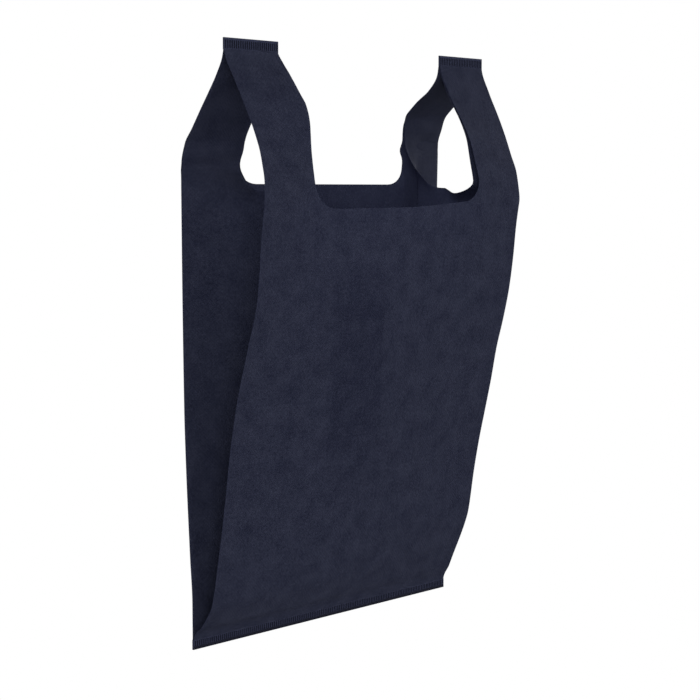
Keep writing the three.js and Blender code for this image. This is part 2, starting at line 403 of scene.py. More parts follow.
BACK_LEFT = StrapDrape(
    side=Side.LEFT,
    facing=Facing.BACK,
    body=BACK_BODY,
    strap=(
        (0, 1), (0.122, 0.993), (0.256, 0.908), (0.371, 0.737), (0.518, 0.522), (0.628, 0.357),
        (0.773, 0.149), (0.885, 0.023), (0.94, 0), (1, 0),
    ),
    lean=((0, 1), (0.25, 0.96), (0.3, 0.7), (0.36, 0.35), (0.5, 0.3), (0.75, 0.1), (0.9, 0), (1, 0)),
    furthest_lean=5.0,
    swing_foot=-10.0,
    swing_top=28.0,
    drop_share=0.8,
    soft_folds=(
        SoftFold(Layer.GUSSET, rise=25.0, distance=20.0, rise_reach=6.5, distance_reach=30.0, push=-3.2,
                 lean=0.1),
        SoftFold(Layer.GUSSET, rise=14.0, distance=18.0, rise_reach=5.0, distance_reach=26.0, push=1.4,
                 lean=0.1),
        SoftFold(Layer.GUSSET, rise=14.5, distance=58.0, rise_reach=12.0, distance_reach=22.0, push=4.8),
        SoftFold(Layer.PANEL, rise=14.5, distance=58.0, rise_reach=12.0, distance_reach=22.0, push=4.8),
    ),
)
BACK_RIGHT = StrapDrape(
    side=Side.RIGHT,
    facing=Facing.BACK,
    body=BACK_BODY,
    strap=(
        (0, 1), (0.325, 0.974), (0.398, 0.93), (0.473, 0.834), (0.563, 0.663), (0.625, 0.54),
        (0.72, 0.346), (0.83, 0.133), (0.905, 0.032), (0.95, 0), (1, 0),
    ),
    lean=(
        (0, 0.95), (0.07, 0.8), (0.13, 0.68), (0.2, 0.75), (0.27, 0.65), (0.33, 0.5), (0.42, 0.25),
        (0.5, 0.12), (0.6, 0.15), (0.72, 0.35), (0.83, 0.25), (0.94, 0), (1, 0),
    ),
    furthest_lean=11.0,
    swing_foot=-12.0,
    swing_top=36.0,
    slack=1.0,
    bend_round=5.0,
    soft_folds=(
        SoftFold(Layer.GUSSET, rise=51.0, distance=28.0, rise_reach=9.0, distance_reach=36.0, push=-3.6,
                 lean=-0.04),
        SoftFold(Layer.GUSSET, rise=36.0, distance=24.0, rise_reach=6.0, distance_reach=20.0, push=2.6,
                 lean=-0.04),
        SoftFold(Layer.PANEL, rise=31.0, distance=58.0, rise_reach=6.5, distance_reach=16.0, push=4.2),
    ),
)


@dataclass(frozen=True)
class FaintCrease:
    """A faint straight crease in the front panel, from one flat place to another.

    A place is the distance from the panel's left fold and the height along the cloth.
    """

    start: tuple[float, float]
    end: tuple[float, float]
    reach: float
    rise: float
    end_fade: float = 0.15

    def rise_at(self, from_left: float, along: np.ndarray) -> np.ndarray:
        """Gives how far the panel stands out.

        Args:
            from_left: Distance from the panel's left fold.
            along: Heights along the cloth.

        Returns:
            How far it stands out at each height, in millimetres.
        """
        run = np.array(self.end) - np.array(self.start)
        length = math.hypot(run[0], run[1])
        right, up = from_left - self.start[0], along - self.start[1]
        share = (right * run[0] + up * run[1]) / length ** 2
        off = (right * run[1] - up * run[0]) / length
        starting = smoothstep(share, -self.end_fade, self.end_fade)
        ending = smoothstep(share, 1 - self.end_fade, 1 + self.end_fade)
        return self.rise * np.exp(-(off / self.reach) ** 2) * (starting * (1 - ending))


FRONT_PRESSES = (
    FaintCrease(start=(214.0, 95.0), end=(200.0, 175.0), reach=8.0, rise=0.5),
    FaintCrease(start=(40.0, 352.0), end=(122.0, 350.0), reach=2.8, rise=0.7),
    FaintCrease(start=(172.0, 35.0), end=(196.0, 58.0), reach=4.0, rise=1.0),
)


@dataclass
class Fold:
    """One of the four upright folds of the tube."""

    cut: FlatCut
    hang: Hang
    drape: StrapDrape
    steps: int = 900

    def __post_init__(self) -> None:
        """Steps along the cloth, so that the fold keeps its length up to the mouth.

        Above the mouth it is drawn to the height of the handle welds, which all four folds share.
        """
        self.along = np.linspace(0.0, self.cut.height, self.steps + 1)
        step = self.cut.height / self.steps
        drift = np.diff(self.depth_at(self.along)) / step
        rises = step * np.sqrt(np.maximum(1.0 - drift ** 2, 0.0))
        heights = np.concatenate([[0.0], np.cumsum(rises)])
        mouth = np.interp(self.cut.cut_foot, self.along, heights)
        stretch = (self.hang.top_height - mouth) / (heights[-1] - mouth)
        is_above = self.along > self.cut.cut_foot
        self.heights = np.where(is_above, mouth + (heights - mouth) * stretch, heights)

    def depth_at(self, along: np.ndarray) -> np.ndarray:
        """Gives how far back the fold lies.

        Args:
            along: Heights along the cloth.

        Returns:
            The fold's Y at each height, from the plane of the handle welds.
        """
        cut, hang = self.cut, self.hang
        facing = self.drape.facing.value
        furthest = -hang.mouth_front if facing < 0 else hang.mouth_back
        welded = hang.foot_weld * (1 - smoothstep(along, hang.foot_weld, hang.foot_lead_in))
        body = ShareCurve(self.drape.body).at(np.maximum(along - welded, 0.0) / cut.cut_foot)
        strap = ShareCurve(self.drape.strap).at((along - cut.cut_foot) / cut.cut_depth)
        in_body = hang.seam_setback + body * (furthest - hang.seam_setback)
        depth = np.where(along <= cut.cut_foot, in_body, furthest * strap)
        return depth + facing * cut.outer_layer

    def at(self, along: np.ndarray) -> np.ndarray:
        """Places the fold.

        Args:
            along: Heights along the cloth.

        Returns:
            One point for each height.
        """
        x = np.full_like(along, self.drape.side.value * self.cut.half_width)
        y = self.depth_at(along)
        z = np.interp(along, self.along, self.heights)
        return np.stack([x, y, z], axis=1)

    def lean_at(self, along: np.ndarray) -> np.ndarray:
        """Gives how far the strap's cut edge leans forward of the fold.

        Args:
            along: Heights along the cloth.

        Returns:
            The lean at each height, in millimetres.
        """
        reach = self.cut.cut_foot - self.hang.lean_reach
        fade = smoothstep(along, reach, self.cut.cut_foot)
        share = ShareCurve(self.drape.lean).at((along - self.cut.cut_foot) / self.cut.cut_depth)
        return self.drape.furthest_lean * share * fade


@dataclass(frozen=True)
class Column:
    """One upright line of the cloth.

    Its place gives its points by height, flat is how far round the flat cloth it lies, and top is
    where the cut-out ends it or, in a strap, where the rows of the strap begin.
    """

    place: Place
    flat: float
    top: float
    is_strap: bool


@dataclass
class DrapedCloth:
    """The tube of cloth as it hangs, as one closed thin shell."""

    cut: FlatCut = field(default_factory=FlatCut)
    hang: Hang = field(default_factory=Hang)
    strap_columns: int = 16
    corner_columns: int = 9
    middle_columns: int = 40
    body_rows: int = 84
    top_rows: int = 14
    strap_rows: int = 40
    shared_share: float = 0.89
    foot_margin: float = 7.3
    handle_margin: float = 8.3
    least_column_gap: float = 1.0
    sharp_angle: float = math.radians(40)

    def __post_init__(self) -> None:
        """Makes the four folds."""
        self.front_left = Fold(self.cut, self.hang, FRONT_LEFT)
        self.front_right = Fold(self.cut, self.hang, FRONT_RIGHT)
        self.back_left = Fold(self.cut, self.hang, BACK_LEFT)
        self.back_right = Fold(self.cut, self.hang, BACK_RIGHT)

    def panel_point(self, facing: Facing, from_left: float, along: np.ndarray) -> np.ndarray:
        """Places a line of a panel, or of a strap's outer layer.

        Args:
            facing: The front or the back panel.
            from_left: Distance from the panel's left fold.
            along: Heights along the cloth.

        Returns:
            One point for each height.
        """
        cut, hang = self.cut, self.hang
        is_front = facing is Facing.FRONT
        left = self.front_left if is_front else self.back_left
        right = self.front_right if is_front else self.back_right
        share = from_left / cut.panel_width
        points = left.at(along) * (1 - share) + right.at(along) * share
        swell = np.sin(math.pi * np.clip(along / cut.cut_foot, 0, 1)) * math.sin(math.pi * share) ** 2
        points[:, 1] += facing.value * hang.panel_bulge * swell

        distance = min(from_left, cut.panel_width - from_left)
        in_strap = min(distance / cut.strap_width, 1.0)
        in_middle = float(smoothstep(distance, cut.strap_width, cut.half_width))
        to_right = float(smoothstep(from_left, cut.strap_width, cut.panel_width - cut.strap_width))
        lean = left.lean_at(along) * (1 - to_right) + right.lean_at(along) * to_right
        points[:, 1] -= lean * in_strap * (1 - in_middle + hang.middle_lean_share * in_middle)
        near_fold = left if from_left < cut.half_width else right
        points[:, 1] += near_fold.drape.push_at(Layer.PANEL, along - cut.cut_foot, distance)
        if is_front:
            slack = float(smoothstep(from_left, *hang.sag_from_left))
            slack *= float(smoothstep(cut.panel_width - from_left, *hang.sag_from_right))
            reach = cut.cut_foot - hang.lean_reach
            points[:, 2] -= hang.mouth_sag * slack * smoothstep(along, reach, cut.cut_foot)
            for press in FRONT_PRESSES:
                points[:, 1] -= press.rise_at(from_left, along)
        return points

    def crease_at(self, fold: Fold, opposite: Fold, along: np.ndarray) -> np.ndarray:
        """Places a gusset's crease at heights up to the mouth.

        Args:
            fold: One of the gusset's two folds.
            opposite: Its other fold.
            along: Heights along the cloth, up to the foot of the cut-out.

        Returns:
            One point for each height.
        """
        cut, hang = self.cut, self.hang
        own, other = fold.at(along), opposite.at(along)
        middle = (own + other) / 2
        stack = (cut.layers_in_weld - 1) * cut.layer_pitch
        apart = np.abs(other[:, 1] - own[:, 1]) - stack
        rise = other[:, 2] - own[:, 2]
        inward = np.sqrt(np.maximum(cut.gusset_depth ** 2 - (apart ** 2 + rise ** 2) / 4, 0.0))
        near_mouth = smoothstep(along, cut.cut_foot - hang.slack_reach, cut.cut_foot)
        slack = fold.drape.slack * near_mouth
        middle[:, 0] -= fold.drape.side.value * (inward - slack * hang.slack_crease_out)
        middle[:, 1] += slack * hang.slack_crease_back
        middle[:, 2] += hang.crease_rise * near_mouth
        return middle

    def open_gusset_step(
        self, fold: Fold, crease: np.ndarray, distance: float, along: np.ndarray
    ) -> np.ndarray:
        """Steps from the fold to a line of half a gusset as it stands open, bent where it is slack.

        Args:
            fold: The fold that this half hangs from.
            crease: The gusset's crease at each height.
            distance: Distance from the fold.
            along: Heights along the cloth.

        Returns:
            The step from the fold to the line, for each height.
        """
        cut = self.cut
        side = fold.drape.side.value
        toward = -fold.drape.facing.value
        start = fold.at(along)
        start[:, 1] += toward * cut.layer_pitch
        chord = crease - start
        chord[:, 1] -= toward * cut.layer_pitch / 2
        flat_chord = chord.copy()
        flat_chord[:, 2] = 0.0
        length = np.linalg.norm(flat_chord, axis=1)
        sideways = np.stack([-flat_chord[:, 1], flat_chord[:, 0], np.zeros_like(length)], axis=1)
        sideways /= length[:, None]
        sideways *= np.where(sideways[:, 0] * side > 0, -1.0, 1.0)[:, None]
        half = cut.gusset_depth / 2
        bow = np.sqrt(np.maximum(half ** 2 - (length / 2) ** 2, 0.0))
        bend = flat_chord / 2 + sideways * bow[:, None]
        first, second = unit(bend), unit(flat_chord - bend)
        past = distance - half
        reach = fold.drape.bend_round
        if abs(past) < reach:
            step = bend - first * (reach - past) ** 2 / (4 * reach)
            step += second * (reach + past) ** 2 / (4 * reach)
        elif past < 0:
            step = bend + first * past
        else:
            step = bend + second * past
        step[:, 2] = chord[:, 2] * distance / cut.gusset_depth
        return step

    def keep_inside(self, fold: Fold, distance: float, along: np.ndarray, step_y: np.ndarray) -> np.ndarray:
        """Finds the push that keeps half a gusset on the inner side of its panel.

        Args:
            fold: The fold that this half hangs from.
            distance: Distance from the fold.
            along: Heights along the cloth.
            step_y: The line's steps from the fold along Y.

        Returns:
            The push along Y, for each height.
        """
        cut, hang = self.cut, self.hang
        toward = -fold.drape.facing.value
        lean = fold.lean_at(along) * min(distance / cut.strap_width, 1.0)
        clear = toward * (step_y + lean)
        least = cut.layer_pitch * min(distance / hang.clear_reach, 1.0)
        softness = hang.clear_softness * min(distance / cut.strap_width, 1.0)
        kept = (clear + least + np.sqrt((clear - least) ** 2 + softness ** 2)) / 2
        fade = 1 - float(smoothstep(distance, cut.strap_width, cut.gusset_depth))
        return toward * (kept - clear) * fade

    def gusset_point(self, fold: Fold, opposite: Fold, distance: float, along: np.ndarray) -> np.ndarray:
        """Places a line of half a gusset, which runs from its fold to the gusset's own crease.

        Args:
            fold: The fold that this half hangs from.
            opposite: The fold of the gusset's other half.
            distance: Distance from the fold.
            along: Heights along the cloth.

        Returns:
            One point for each height.
        """
        cut, hang = self.cut, self.hang
        side = fold.drape.side.value
        toward = -fold.drape.facing.value
        start = fold.at(along)
        start[:, 1] += toward * cut.layer_pitch
        in_body = np.minimum(along, cut.cut_foot)
        crease = self.crease_at(fold, opposite, in_body)
        step = self.open_gusset_step(fold, crease, distance, in_body)
        span = np.linalg.norm(step, axis=1)

        near_weld = smoothstep(along, cut.cut_foot, cut.height - hang.weld_lead_in)
        gap = hang.front_gap if toward > 0 else hang.back_gap
        opening = toward * gap * (1 - near_weld) - fold.lean_at(along)
        across = np.full_like(along, -side * cut.strap_width)
        closed = unit(np.stack([across, opening, np.zeros_like(along)], axis=1)) * distance
        drape = fold.drape
        closing = smoothstep(along - cut.cut_foot, drape.swing_foot, drape.swing_top)
        closing *= 1 - float(smoothstep(distance, cut.strap_width, cut.gusset_depth))
        if distance > 0:
            step = step * (1 - closing)[:, None] + closed * closing[:, None]
            length = span * (1 - closing) + distance * closing
            step *= (length / np.linalg.norm(step, axis=1))[:, None]
            step[:, 1] += self.keep_inside(fold, distance, along, step[:, 1])
        points = start + step
        drop = smoothstep(distance, *hang.drop_from_fold)
        drop = float(drop * (1 - smoothstep(distance, hang.drop_past_strap, cut.gusset_depth)))
        near_foot = smoothstep(along, cut.cut_foot - hang.slack_reach, cut.cut_foot)
        near_foot *= 1 - smoothstep(along - cut.cut_foot, *hang.drop_up_strap)
        points[:, 2] -= drape.drop_share * hang.corner_drop * drop * near_foot
        points[:, 1] += drape.push_at(Layer.GUSSET, along - cut.cut_foot, distance)
        return points

    def column_distances(self, limit: float, radius: float) -> list[float]:
        """Lists the distances of a strap's columns from its fold, and on over the round corner.

        Args:
            limit: Distance that the columns of the corner stay short of.
            radius: Radius of the cut-out's corner.

        Returns:
            The distances, without the fold's own.
        """
        cut = self.cut
        strap = [(k + 1) / self.strap_columns * cut.strap_width for k in range(self.strap_columns)]
        turns = [(k + 1) / self.corner_columns * math.pi / 2 for k in range(self.corner_columns)]
        corner = [cut.strap_width + radius * (1 - math.cos(turn)) for turn in turns]
        return strap + [distance for distance in corner if distance < limit - self.least_column_gap]

    def make_column(self, place: Place, flat: float, distance: float, radius: float) -> Column:
        """Makes a column.

        Args:
            place: Gives the column's points by height.
            flat: How far round the flat cloth it lies.
            distance: Its distance from the nearest fold.
            radius: Radius of the cut-out's corner in this layer.

        Returns:
            The column.
        """
        past = max(distance - self.cut.strap_width, 0.0)
        is_strap = past <= TINY
        top = self.cut.cut_foot + radius if is_strap else self.cut.cut_height(past, radius)
        return Column(place, flat, top, is_strap)

    def panel_columns(self, facing: Facing, flat_start: float) -> list[Column]:
        """Lists a panel's columns in their order round the tube.

        Args:
            facing: The front panel runs from left to right and the back one from right to left.
            flat_start: Where the panel starts in the flat cloth.

        Returns:
            The panel's columns.
        """
        width = self.cut.panel_width
        radius = self.cut.cut_radius
        near = [0.0, *self.column_distances(self.cut.half_width, radius)]
        clear = width - 2 * near[-1]
        middle = [near[-1] + clear * (k + 1) / self.middle_columns for k in range(self.middle_columns - 1)]
        far = [width - distance for distance in reversed(near)]
        columns = []
        for travelled in [*near, *middle, *far]:
            from_left = travelled if facing is Facing.FRONT else width - travelled
            distance = min(travelled, width - travelled)

            def place(along: np.ndarray, from_left: float = from_left) -> np.ndarray:
                """Places this column."""
                return self.panel_point(facing, from_left, along)

            columns.append(self.make_column(place, flat_start + travelled, distance, radius))
        return columns

    def half_gusset_columns(self, fold: Fold, opposite: Fold, flat_fold: float, way: int) -> list[Column]:
        """Lists the columns of half a gusset, from its fold to its crease.

        Args:
            fold: The fold that this half hangs from.
            opposite: The fold of the gusset's other half.
            flat_fold: Where the fold is in the flat cloth.
            way: 1 where the crease comes after the fold in the flat cloth, else -1.

        Returns:
            The columns of this half.
        """
        cut = self.cut
        radius = cut.gusset_cut_radius
        columns = []
        for distance in [0.0, *self.column_distances(cut.gusset_depth, radius), cut.gusset_depth]:

            def place(along: np.ndarray, distance: float = distance) -> np.ndarray:
                """Places this column."""
                return self.gusset_point(fold, opposite, distance, along)

            columns.append(self.make_column(place, flat_fold + way * distance, distance, radius))
        return columns

    def tip_column(self, before: Column, after: Column, outward: float) -> Column:
        """Makes the rounded tip of a fold, halfway between two layers.

        Args:
            before: The last column of the layer before the fold.
            after: The first column of the layer after it.
            outward: The sign of X that the tip points to.

        Returns:
            The tip's column.
        """
        shift = np.array([outward * self.cut.layer_pitch / 2, 0.0, 0.0])

        def place(along: np.ndarray) -> np.ndarray:
            """Places this column."""
            return (before.place(along) + after.place(along)) / 2 + shift

        flat = (before.flat + after.flat) / 2
        return Column(place, flat, before.top, before.is_strap and after.is_strap)

    def gusset_columns(self, first: Fold, following: Fold, flat_start: float) -> list[Column]:
        """Lists a gusset's columns, from one fold over its crease to the next fold.

        Args:
            first: The fold where the gusset starts.
            following: The fold where it ends.
            flat_start: Where it starts in the flat cloth.

        Returns:
            The gusset's columns, with the tip of its crease.
        """
        flat_end = flat_start + 2 * self.cut.gusset_depth
        entering = self.half_gusset_columns(first, following, flat_start, 1)
        leaving = self.half_gusset_columns(following, first, flat_end, -1)[::-1]
        crease = self.tip_column(entering[-1], leaving[0], -first.drape.side.value)
        return [*entering, crease, *leaving]

    def all_columns(self) -> list[Column]:
        """Lists every column.

        Returns:
            The columns in their order round the tube, with the tips of its four folds.
        """
        cut = self.cut
        to_back = cut.panel_width + 2 * cut.gusset_depth
        stretches = [
            self.panel_columns(Facing.FRONT, 0.0),
            self.gusset_columns(self.front_right, self.back_right, cut.panel_width),
            self.panel_columns(Facing.BACK, to_back),
            self.gusset_columns(self.back_left, self.front_left, to_back + cut.panel_width),
        ]
        sides = [Side.RIGHT, Side.RIGHT, Side.LEFT, Side.LEFT]
        columns = []
        for k, stretch in enumerate(stretches):
            after = stretches[(k + 1) % len(stretches)][0]
            tip = self.tip_column(stretch[-1], after, sides[k].value)
            columns += [*stretch, Column(tip.place, stretch[-1].flat, tip.top, tip.is_strap)]
        return columns

    def row_heights(self, column: Column) -> np.ndarray:
        """Lists the heights along the cloth of a column's points.

        Args:
            column: The column.

        Returns:
            The heights, from the foot weld up.
        """
        last_shared = self.shared_share * self.cut.cut_foot
        body = np.linspace(self.foot_margin, last_shared, self.body_rows + 1)
        upper = np.linspace(last_shared, column.top, self.top_rows + 1)[1:]
        if not column.is_strap:
            return np.concatenate([body, upper])
        weld_end = self.cut.height - self.handle_margin
        strap = np.linspace(column.top, weld_end, self.strap_rows + 1)[1:]
        return np.concatenate([body, upper, strap])

    def join_columns(self, columns: list[Column], sizes: list[int]) -> tuple[np.ndarray, np.ndarray]:
        """Joins each column to the next one with four-sided faces.

        Args:
            columns: The columns in their order round the tube.
            sizes: How many points each column has.

        Returns:
            The faces as rows of four vertices, and how far round the flat cloth each corner lies.
        """
        first = np.concatenate([[0], np.cumsum(sizes)])
        quads, rounds = [], []
        for i, column in enumerate(columns):
            following = (i + 1) % len(columns)
            shared = min(sizes[i], sizes[following]) - 1
            j = np.arange(shared)
            a, b = first[i] + j, first[following] + j
            quads.append(np.stack([a, b, b + 1, a + 1], axis=1))
            ahead = self.cut.round_the_tube if following == 0 else columns[following].flat
            rounds.append(np.tile([column.flat, ahead, ahead, column.flat], (shared, 1)))
        return np.concatenate(quads), np.concatenate(rounds)

    def layer_offset(self, middle: np.ndarray, faces: np.ndarray) -> np.ndarray:
        """Finds the steps from the middle of the cloth to its outer face.

        Args:
            middle: The points of the cloth's middle.
            faces: The faces between them.

        Returns:
            One step for each point, half the cloth's thickness long.
        """
        across = middle[faces[:, 2]] - middle[faces[:, 0]]
        along = middle[faces[:, 3]] - middle[faces[:, 1]]
        face_normals = np.cross(across, along)
        normals = np.zeros_like(middle)
        for corner in range(4):
            np.add.at(normals, faces[:, corner], face_normals)
        return unit(normals) * self.cut.cloth_thickness / 2

    @staticmethod
    def rim_edges(faces: np.ndarray) -> np.ndarray:
        """Finds the edges of the cut cloth.

        Args:
            faces: The faces of one side of the cloth.

        Returns:
            The edges that only one face has, as rows of two vertices in order.
        """
        edges = np.concatenate([faces[:, [k, (k + 1) % 4]] for k in range(4)])
        known = {(int(a), int(b)) for a, b in edges}
        rim = np.array([edge for edge in known if (edge[1], edge[0]) not in known])
        return rim[np.lexsort((rim[:, 1], rim[:, 0]))]

    def build(self) -> bpy.types.Object:
        """Builds the cloth's mesh.

        Returns:
            The object, with its flat cut kept as a UV map in metres.
        """
        columns = self.all_columns()
        rows = [self.row_heights(column) for column in columns]
        middle = np.concatenate([column.place(heights) for column, heights in zip(columns, rows)])
        middle[:, 1] += self.hang.weld_plane_y
        flat_up = np.concatenate(rows)
        flat_round = np.concatenate([np.full(len(r), c.flat) for c, r in zip(columns, rows)])
        faces, face_round = self.join_columns(columns, [len(heights) for heights in rows])
        offset = self.layer_offset(middle, faces)

        count = len(middle)
        rim = self.rim_edges(faces)
        rim_faces = np.stack([rim[:, 1], rim[:, 0], rim[:, 0] + count, rim[:, 1] + count], axis=1)
        inner = faces[:, ::-1] + count
        all_faces = np.concatenate([faces, inner, rim_faces])
        vertices = np.concatenate([middle + offset, middle - offset]) * METRES_PER_MM

        rim_round = flat_round[rim_faces % count]
        all_round = np.concatenate([face_round, face_round[:, ::-1], rim_round])
        all_up = flat_up[all_faces % count]
        mesh = bpy.data.meshes.new("bag_cloth")
        mesh.from_pydata(vertices.tolist(), [], all_faces.tolist())
        layer = mesh.uv_layers.new(name=FLAT_MAP)
        flat = np.stack([all_round, all_up], axis=2) * METRES_PER_MM
        layer.data.foreach_set("uv", flat.astype(np.float32).ravel())
        mesh.shade_smooth()
        mesh.set_sharp_from_angle(angle=self.sharp_angle)
        piece = bpy.data.objects.new("bag_cloth", mesh)
        bpy.context.scene.collection.objects.link(piece)
        return piece


@dataclass
class PressedWeld:
    """A flat heat weld, pressed with a row of upright grooves on both faces.

    The grooves run from groove_foot to groove_top, and their walls slope over the width of wall.
    """

    name: str
    width: float
    height: float
    centre_x: float
    centre_y: float
    foot_z: float
    groove_foot: float
    groove_top: float
    foot_is_fused: bool = False
    thickness: float = 1.5
    groove_pitch: float = 2.2
    groove_width: float = 1.05
    groove_depth: float = 0.3
    wall: float = 0.12

    def profile(self) -> tuple[list[float], list[bool]]:
        """Lists the weld's upright lines.

        Returns:
            The lines' distances from the weld's middle, and which of them lie at the bottom of a groove.
        """
        count = int(self.width // self.groove_pitch)
        start = -(count - 1) / 2 * self.groove_pitch
        xs, pressed = [-self.width / 2], [False]
        for k in range(count):
            centre = start + k * self.groove_pitch
            half = self.groove_width / 2
            xs += [centre - half - self.wall, centre - half, centre + half, centre + half + self.wall]
            pressed += [False, True, True, False]
        return [*xs, self.width / 2], [*pressed, False]

    def build(self) -> bpy.types.Object:
        """Builds the weld as one closed slab.

        Returns:
            The object, whose grooves take its second material.
        """
        xs, pressed = self.profile()
        zs = [0.0, self.groove_foot, self.groove_foot + self.wall, self.groove_top - self.wall]
        zs += [self.groove_top, self.height]
        groove_rows = (2, 3)
        vertices, faces, kinds = [], [], []
        columns, rows = len(xs), len(zs)
        for facing in Facing:
            for i, x in enumerate(xs):
                for j, z in enumerate(zs):
                    sunk = self.groove_depth if pressed[i] and j in groove_rows else 0.0
                    y = self.centre_y + facing.value * (self.thickness / 2 - sunk)
                    vertices.append((self.centre_x + x, y, self.foot_z + z))
        behind = columns * rows
        for i in range(columns - 1):
            for j in range(rows - 1):
                a, b = i * rows + j, (i + 1) * rows + j
                is_fused = (pressed[i] or pressed[i + 1]) and j == groove_rows[0]
                is_fused = is_fused or (self.foot_is_fused and j == 0)
                faces += [(a, b, b + 1, a + 1), (behind + a, behind + a + 1, behind + b + 1, behind + b)]
                kinds += [int(is_fused), int(is_fused)]
            for j in (0, rows - 1):
                a, b = i * rows + j, (i + 1) * rows + j
                edge = (b, a, behind + a, behind + b)
                faces.append(edge if j == 0 else edge[::-1])
                kinds.append(0)
        for i in (0, columns - 1):
            for j in range(rows - 1):
                a = i * rows + j
                edge = (a, a + 1, behind + a + 1, behind + a)
                faces.append(edge if i == 0 else edge[::-1])
                kinds.append(0)
        mesh = bpy.data.meshes.new(self.name)
        scaled = (np.array(vertices) * METRES_PER_MM).tolist()
        mesh.from_pydata(scaled, [], faces)
        layer = mesh.uv_layers.new(name=FLAT_MAP)
        corner = np.array([loop.vertex_index for loop in mesh.loops])
        layer.data.foreach_set("uv", np.array(scaled)[corner][:, [0, 2]].astype(np.float32).ravel())
        mesh.polygons.foreach_set("material_index", kinds)
        piece = bpy.data.objects.new(self.name, mesh)
        bpy.context.scene.collection.objects.link(piece)
        return piece


